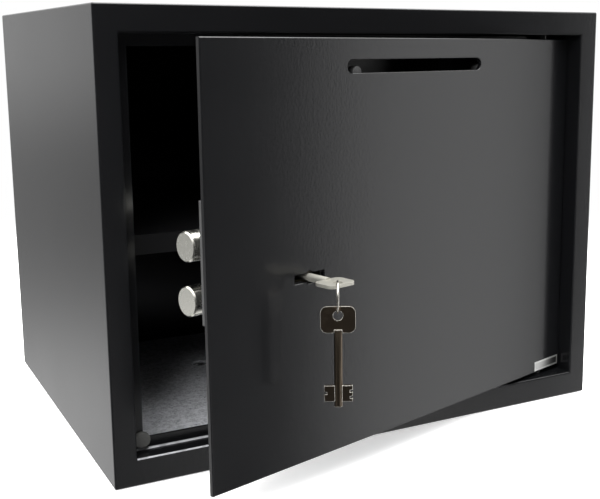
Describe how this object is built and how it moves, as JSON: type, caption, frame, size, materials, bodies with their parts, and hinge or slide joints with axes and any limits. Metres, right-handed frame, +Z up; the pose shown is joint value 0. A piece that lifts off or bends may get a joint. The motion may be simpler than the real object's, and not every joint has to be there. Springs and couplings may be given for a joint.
{
  "type": "deposit safe",
  "caption": "Key-locked steel drop safe with a hinged door, a deposit slot and chute, sliding lock bolts, an inner shelf and keys on a ring.",
  "frame": {"origin": "centre of the cabinet's underside", "axes": "+Z up, -Y towards the user out of the door, +X towards the hinges"},
  "size_m": [0.38, 0.3988, 0.3],
  "materials": {
    "black_powder": "satin black powder coat",
    "black_inside": "matt black paint",
    "zinc_steel": "bright zinc plate",
    "nickel_bolt": "polished nickel plate",
    "nickel_key": "nickel plate",
    "grey_felt": "needled grey felt",
    "rubber_pad": "matt",
    "silver_label": "satin foil",
    "barrel_brass": "machined"
  },
  "bodies": {
    "cabinet": {"outer_shell": "black_powder", "front_frame": "black_powder", "rear_panel": "black_powder", "hinge_plate_lower": "black_powder", "hinge_plate_upper": "black_powder", "hinge_washer": "zinc_steel", "strike_bar": "black_powder", "door_bumper": "rubber_pad", "floor_carpet": "grey_felt", "shelf_rail_left": "black_inside", "shelf_rail_right": "black_inside", "shelf": "black_inside"},
    "door": {"door_plate": "black_powder", "hinge_lug_lower": "black_powder", "hinge_lug_upper": "black_powder", "hinge_pin_lower": "black_powder", "hinge_pin_upper": "black_powder", "chute_floor": "black_inside", "chute_hood": "black_inside", "chute_pillars": "zinc_steel", "lock_case": "zinc_steel", "lock_studs": "zinc_steel", "lock_nuts": "zinc_steel", "lock_cover": "zinc_steel", "cover_bosses": "zinc_steel", "cover_screws": "zinc_steel", "barrel_housing": "barrel_brass", "carriage_stud": "zinc_steel", "blank_label": "silver_label"},
    "barrel": {"lock_barrel": "barrel_brass"},
    "bolt_work": {"bolt_carriage": "zinc_steel", "locking_bolt_lower": "nickel_bolt", "locking_bolt_upper": "nickel_bolt"},
    "key": {"door_key": "nickel_key"},
    "ring": {"key_ring": "nickel_key"},
    "spare": {"spare_key": "nickel_key"}
  },
  "joints": [
    {"name": "door_swing", "type": "hinge", "parent": "cabinet", "child": "door", "pos_m": [0.152, -0.132, 0.15], "axis": [0, 0, 1], "range_deg": [-16.3, 93.7]},
    {"name": "lock_turn", "type": "hinge", "parent": "door", "child": "barrel", "pos_m": [-0.08207, -0.21087, 0.1376], "axis": [0.2807, -0.9598, 0], "range_deg": [0, 180]},
    {"name": "bolt_throw", "type": "slide", "parent": "door", "child": "bolt_work", "axis": [-0.9598, -0.2807, 0], "range_m": [0, 0.018]},
    {"name": "key_pull", "type": "slide", "parent": "barrel", "child": "key", "axis": [0.2807, -0.9598, 0], "range_m": [0, 0.06]},
    {"name": "ring_turn", "type": "hinge", "parent": "key", "child": "ring", "pos_m": [-0.07817, -0.24008, 0.1313], "axis": [0.8862, -0.4633, 0], "range_deg": [-20, 20]},
    {"name": "spare_swing", "type": "hinge", "parent": "ring", "child": "spare", "pos_m": [-0.07817, -0.24008, 0.1223], "axis": [0.4633, 0.8862, 0], "range_deg": [-25, 25]}
  ],
  "couplings": [
    {"joint": "lock_turn", "follows": "bolt_throw", "rad_per_m": 174.53}
  ]
}
